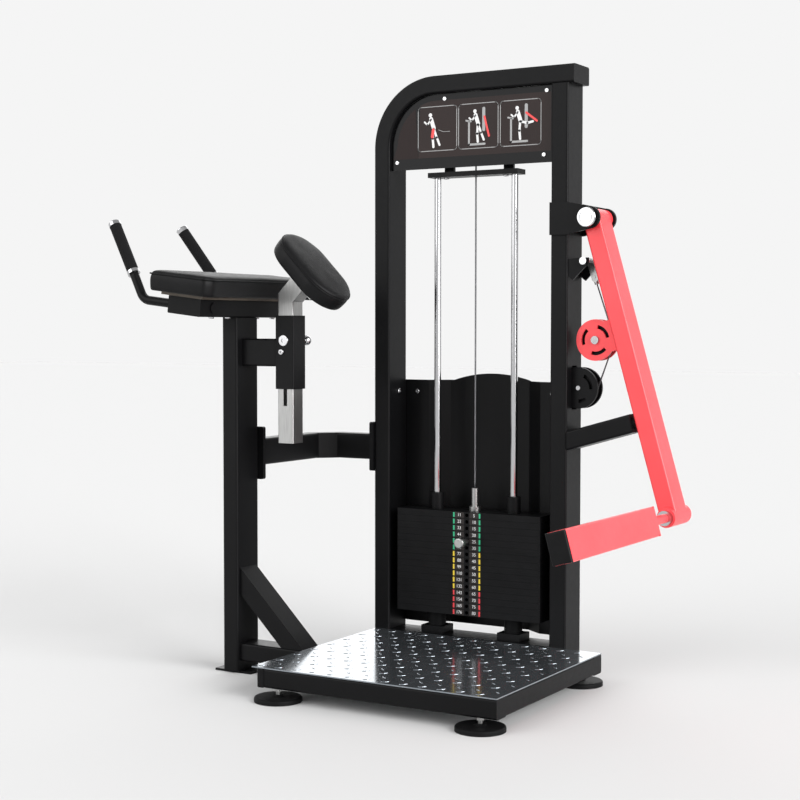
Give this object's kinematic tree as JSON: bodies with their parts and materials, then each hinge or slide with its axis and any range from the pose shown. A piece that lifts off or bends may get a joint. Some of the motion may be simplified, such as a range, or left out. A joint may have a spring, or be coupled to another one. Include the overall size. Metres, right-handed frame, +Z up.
{
  "type": "standing kickback machine",
  "caption": "Standing kick-back strength machine: pin-selected weight stack in an arched tower, cable-driven swing arm with foot bar, step platform, chest and elbow pads.",
  "frame": {"origin": "centre of the bounding box on the floor", "axes": "+Z up; +X the way the foot bar swings out; +Y from the user's platform back to the weight-stack tower"},
  "size_m": [1.5044, 0.811, 1.67],
  "materials": {
    "frame_black": "satin powder coat",
    "arm_red": "semi-gloss powder coat",
    "chrome": "polished",
    "steel": "brushed",
    "cable_steel": "coated wire",
    "plate_black": "satin black",
    "rubber_black": "matt",
    "foam_grip": "matt foam",
    "pulley_plastic": "moulded nylon",
    "plastic_black": "moulded",
    "pad_black": "fine grained",
    "pad_board": "plywood",
    "tread_metal": "polished tread",
    "sign_gloss": "gloss panel"
  },
  "bodies": {
    "frame": {"anchor_bracket": "frame_black", "cable_anchor": "steel", "cable_arm_run": "cable_steel", "cable_drop": "cable_steel", "cable_frame_run": "cable_steel", "cross_bolts": "chrome", "crossbar_hangers": "frame_black", "elbow_board": "pad_board", "elbow_box": "frame_black", "elbow_pad": "pad_black", "foot_discs": "rubber_black", "foot_stems": "steel", "frame_bolts": "chrome", "guide_rods": "chrome", "handle_bars": "frame_black", "handle_grips": "foam_grip", "handle_rings": "chrome", "height_sleeve": "frame_black", "left_post": "frame_black", "link_arm": "frame_black", "low_pulley_cheeks": "frame_black", "lower_plates": "plate_black", "pivot_clevis": "frame_black", "pivot_shaft": "chrome", "plastic_caps": "plastic_black", "platform_end_rails": "frame_black", "platform_side_rails": "frame_black", "rear_shroud": "frame_black", "right_post": "frame_black", "rod_clamps": "plate_black", "rod_crossbar": "frame_black", "rubber_bumpers": "rubber_black", "sign_panel": "sign_gloss", "stand_brace": "frame_black", "stand_column": "frame_black", "stand_low_tube": "frame_black", "stop_arm": "frame_black", "top_beam": "frame_black", "top_bend": "frame_black", "top_pulley_hangers": "frame_black", "tower_base_tube": "frame_black", "tread_plate": "tread_metal"},
    "arm": {"swing_arm": "arm_red", "arm_pulley_cheeks": "arm_red", "arm_hardware": "chrome"},
    "foot_rest": {"foot_bar": "arm_red", "foot_bar_cap": "plastic_black", "foot_bar_shaft": "arm_red"},
    "arm_wheel": {"arm_pulley": "pulley_plastic"},
    "low_wheel": {"low_pulley": "pulley_plastic"},
    "top_left_wheel": {"top_pulley_left": "pulley_plastic"},
    "top_right_wheel": {"top_pulley_right": "pulley_plastic"},
    "lifted_stack": {"lifted_plates": "plate_black", "head_plate": "plate_black", "selector_stem": "steel", "guide_collars": "plate_black"},
    "pin": {"selector_pin": "steel"},
    "chest_support": {"chest_post": "steel", "chest_pad": "pad_black"},
    "pop_plunger": {"pop_pin": "chrome"}
  },
  "joints": [
    {"name": "arm_pivot", "type": "hinge", "parent": "frame", "child": "arm", "pos_m": [0.4925, 0.313, 1.256], "axis": [0, -1, 0], "range_deg": [0, 70], "deforming": ["cable_arm_run"]},
    {"name": "foot_bar_turn", "type": "hinge", "parent": "arm", "child": "foot_rest", "pos_m": [0.7195, 0.313, 0.464], "axis": [0, -1, 0], "range_deg": [-45, 45]},
    {"name": "arm_wheel_spin", "type": "hinge", "parent": "arm", "child": "arm_wheel", "pos_m": [0.499, 0.313, 0.9284], "axis": [0, 1, 0], "continuous": true},
    {"name": "low_wheel_spin", "type": "hinge", "parent": "frame", "child": "low_wheel", "pos_m": [0.4505, 0.313, 0.7982], "axis": [0, 1, 0], "continuous": true},
    {"name": "top_right_wheel_spin", "type": "hinge", "parent": "frame", "child": "top_right_wheel", "pos_m": [0.3585, 0.313, 1.56], "axis": [0, 1, 0], "continuous": true},
    {"name": "top_left_wheel_spin", "type": "hinge", "parent": "frame", "child": "top_left_wheel", "pos_m": [0.1703, 0.313, 1.56], "axis": [0, 1, 0], "continuous": true},
    {"name": "stack_lift", "type": "slide", "parent": "frame", "child": "lifted_stack", "axis": [0, 0, 1], "range_m": [0, 0.47], "deforming": ["cable_drop"]},
    {"name": "pin_pull", "type": "slide", "parent": "lifted_stack", "child": "pin", "axis": [0, -1, 0], "range_m": [0, 0.11]},
    {"name": "chest_height", "type": "slide", "parent": "frame", "child": "chest_support", "axis": [0, 0, 1], "range_m": [-0.03, 0.09]},
    {"name": "pop_pin_pull", "type": "slide", "parent": "frame", "child": "pop_plunger", "axis": [0, 1, 0], "range_m": [0, 0.012], "stiffness_N_per_m": 500}
  ],
  "couplings": [
    {"joint": "stack_lift", "follows": "arm_pivot", "m_per_rad": 0.384},
    {"joint": "low_wheel_spin", "follows": "arm_pivot", "ratio": -8.35},
    {"joint": "top_right_wheel_spin", "follows": "arm_pivot", "ratio": 8.35},
    {"joint": "top_left_wheel_spin", "follows": "arm_pivot", "ratio": 8.35},
    {"joint": "arm_wheel_spin", "follows": "arm_pivot", "ratio": -2.8}
  ]
}
